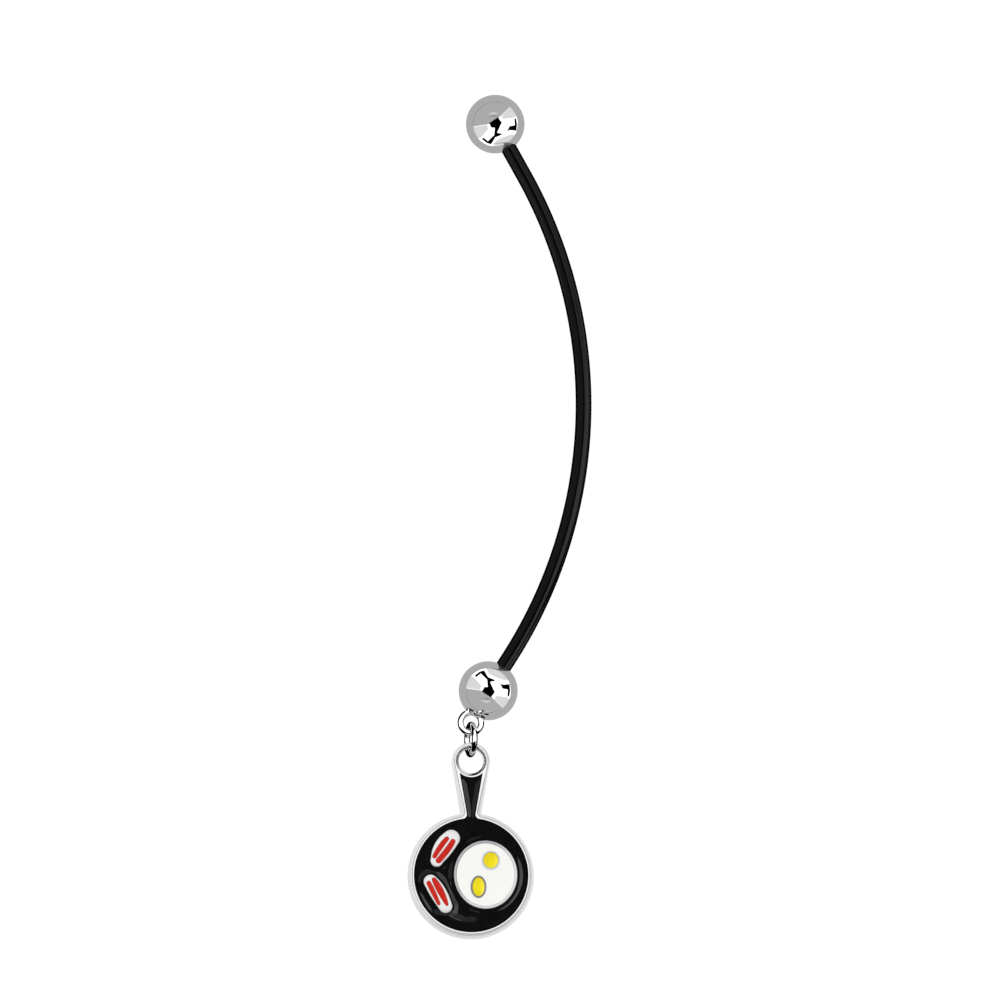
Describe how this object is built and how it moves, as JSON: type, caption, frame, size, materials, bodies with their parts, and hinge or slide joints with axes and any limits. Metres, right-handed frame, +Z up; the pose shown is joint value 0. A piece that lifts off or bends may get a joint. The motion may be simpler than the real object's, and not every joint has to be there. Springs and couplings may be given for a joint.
{
  "type": "belly button ring",
  "caption": "Long curved flexible belly bar with a polished ball at each end and an enamelled frying pan charm hanging by a jump ring.",
  "frame": {"origin": "middle of the bar's bend, on its centreline, where the ring sits in the skin", "axes": "+Z up along the bar to the plain ball, +X from the charm's side of the bend towards its outside, +Y away from the viewer of the charm's face"},
  "size_m": [0.0187, 0.006, 0.0868],
  "materials": {
    "bar": "satin black flexible plastic",
    "ball_steel": "mirror-polished steel",
    "link_steel": "polished steel wire",
    "charm_metal": "bright plated casting",
    "enamel_black": "glossy black enamel",
    "enamel_white": "glossy white enamel",
    "enamel_yellow": "glossy yellow enamel",
    "enamel_red": "glossy red enamel"
  },
  "bodies": {
    "bar": {"bar": "bar", "bottom_ball": "ball_steel"},
    "top_ball": {"top_ball": "ball_steel"},
    "link": {"link": "link_steel"},
    "charm": {"pan_casting": "charm_metal", "black_enamel": "enamel_black", "egg_white": "enamel_white", "yolk_upper": "enamel_yellow", "yolk_lower": "enamel_yellow", "bacon_upper_left": "enamel_red", "bacon_upper_right": "enamel_red", "bacon_lower_left": "enamel_red", "bacon_lower_right": "enamel_red"}
  },
  "joints": [
    {"name": "top_ball_turn", "type": "hinge", "parent": "bar", "child": "top_ball", "pos_m": [-0.00903, 0, 0.02891], "axis": [-0.4848, 0, 0.8746], "continuous": true},
    {"name": "link_swing", "type": "hinge", "parent": "bar", "child": "link", "pos_m": [-0.0115, 0, -0.03386], "axis": [1, 0, 0], "range_deg": [-75, 75]},
    {"name": "charm_swing", "type": "hinge", "parent": "link", "child": "charm", "pos_m": [-0.0115, 0, -0.03607], "axis": [0, 1, 0], "range_deg": [-80, 80]}
  ]
}
